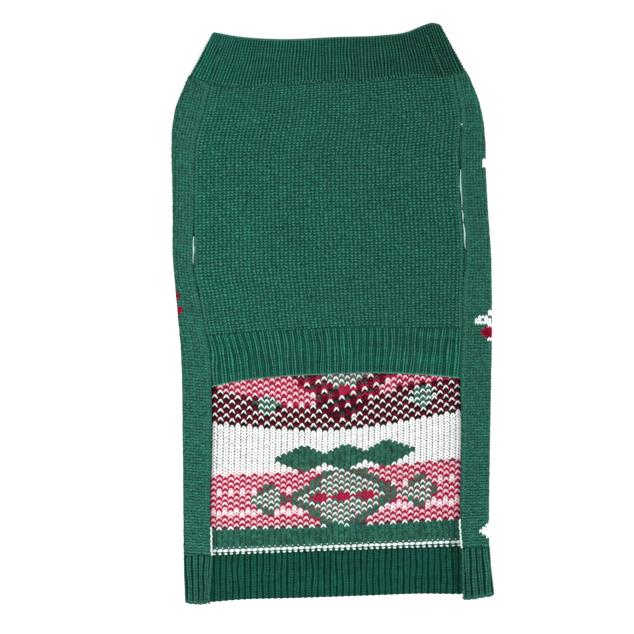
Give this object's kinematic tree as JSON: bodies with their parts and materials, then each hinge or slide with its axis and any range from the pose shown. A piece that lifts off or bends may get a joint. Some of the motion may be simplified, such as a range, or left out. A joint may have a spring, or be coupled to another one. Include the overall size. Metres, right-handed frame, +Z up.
{
  "type": "dog sweater",
  "caption": "Knitted dog sweater laid flat, belly side up: ribbed collar and hems, leg slits in the side seams, sides folded over the belly.",
  "frame": {"origin": "middle of the outline on the surface that the sweater lies on", "axes": "+Y from hem to neck, +X across the sweater, +Z up from the surface to the belly side"},
  "size_m": [0.232, 0.4174, 0.008],
  "materials": {
    "back_panel": "jacquard knit, matte",
    "back_hem_rib": "ribbed knit, matte",
    "belly_panel": "plain knit, matte",
    "belly_hem_rib": "ribbed knit, matte",
    "collar": "ribbed knit, matte"
  },
  "bodies": {
    "root": {"back_panel": "back_panel", "back_hem_rib": "back_hem_rib", "belly_panel": "belly_panel", "belly_hem_rib": "belly_hem_rib", "collar": "collar"}
  },
  "joints": []
}
